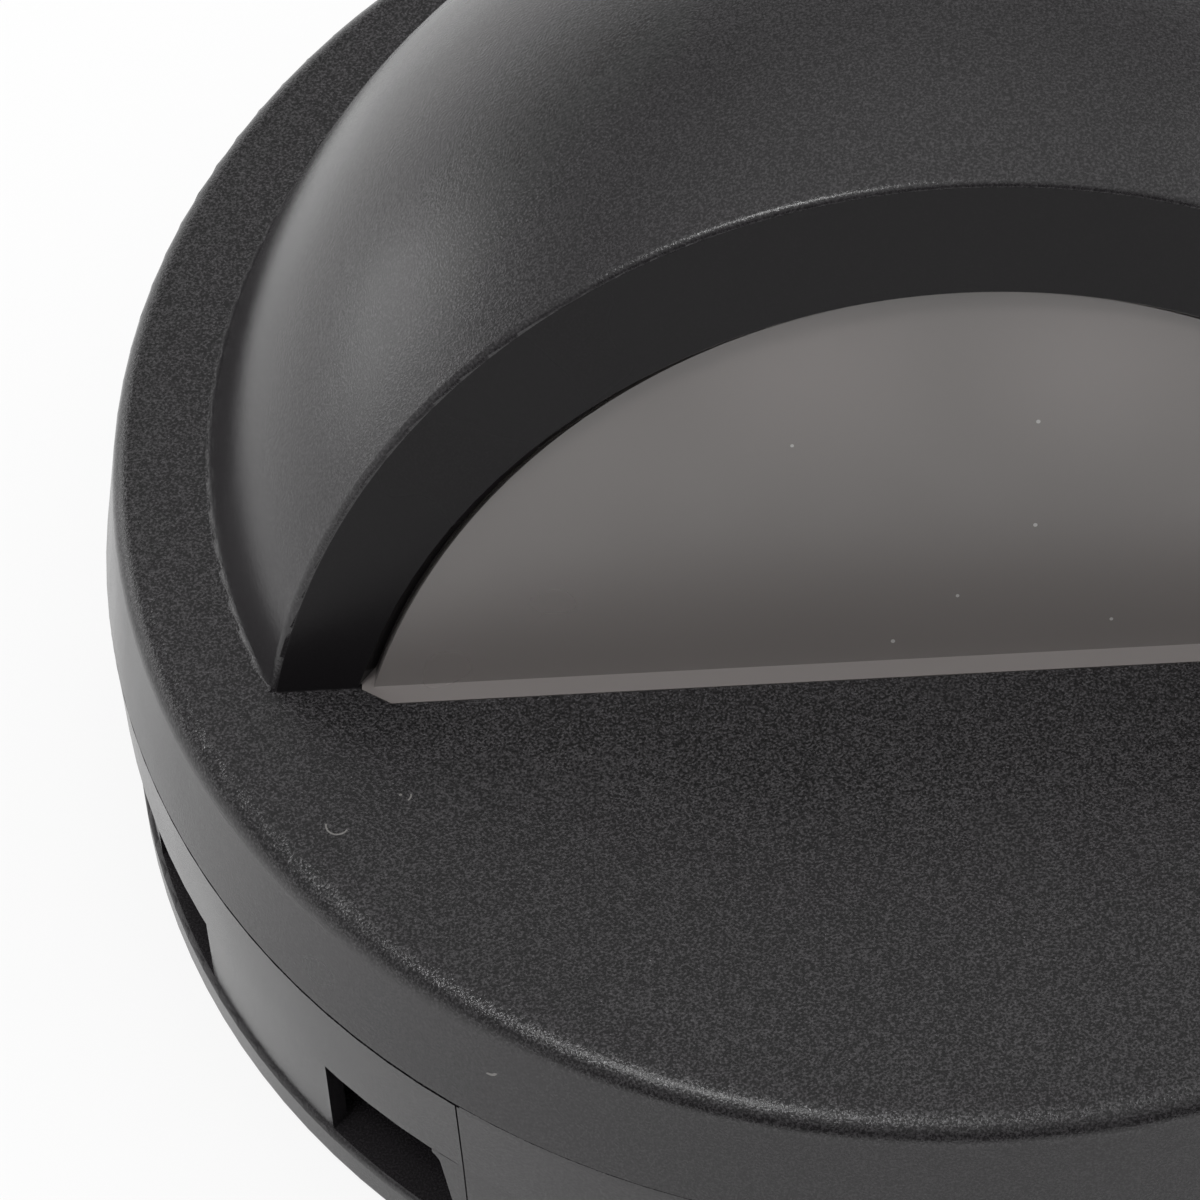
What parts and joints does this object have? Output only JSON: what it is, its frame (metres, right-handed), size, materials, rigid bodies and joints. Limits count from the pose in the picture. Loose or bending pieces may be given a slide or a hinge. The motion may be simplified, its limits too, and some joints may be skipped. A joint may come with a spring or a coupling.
{
  "type": "deck light",
  "caption": "Round surface deck light with a domed eyelid hood that shades a half-round smoked lens, on a vented round base.",
  "frame": {"origin": "centre of the round back plane that lies on the wall or on the surface", "axes": "+Z out of the front, +Y towards the hood, -Y towards the open half of the front, +X to the right seen from -Y"},
  "size_m": [0.2042, 0.2042, 0.116],
  "materials": {
    "shell_black": "fine moulded grain",
    "lens_smoke": "satin smoked translucent",
    "foam_grey": "closed cell foam",
    "rubber_black": "matte",
    "seal_pale": "silicone",
    "plastic_white": "satin",
    "reflector_white": "gloss white",
    "retainer_black": "satin",
    "screw_steel": "zinc plated",
    "screw_brass": "plain",
    "tray_aluminium": "mill finish",
    "board_white": "white solder mask",
    "chip_yellow": "phosphor",
    "lead_brown": "plain",
    "lead_blue": "plain",
    "lead_red": "plain",
    "lead_black": "plain"
  },
  "bodies": {
    "root": {"base": "shell_black", "front_cover": "shell_black", "back_gasket": "foam_grey", "cable_grommet": "rubber_black", "terminal_block": "plastic_white", "terminal_screws": "screw_brass", "block_screws": "screw_steel", "cable_clamp": "plastic_white", "clamp_screws": "screw_steel", "driver": "plastic_white", "driver_screws": "screw_steel", "live_lead": "lead_brown", "neutral_lead": "lead_blue", "gear_tray": "tray_aluminium", "tray_screws": "screw_steel", "led_board": "board_white", "led_chips": "chip_yellow", "board_screws": "screw_steel", "board_connector": "plastic_white", "positive_lead": "lead_red", "negative_lead": "lead_black", "reflector": "reflector_white", "reflector_screws": "screw_steel", "cover_seal": "seal_pale", "lens": "lens_smoke", "lens_gasket": "seal_pale", "lens_retainer": "retainer_black", "retainer_screws": "screw_steel"}
  },
  "joints": []
}
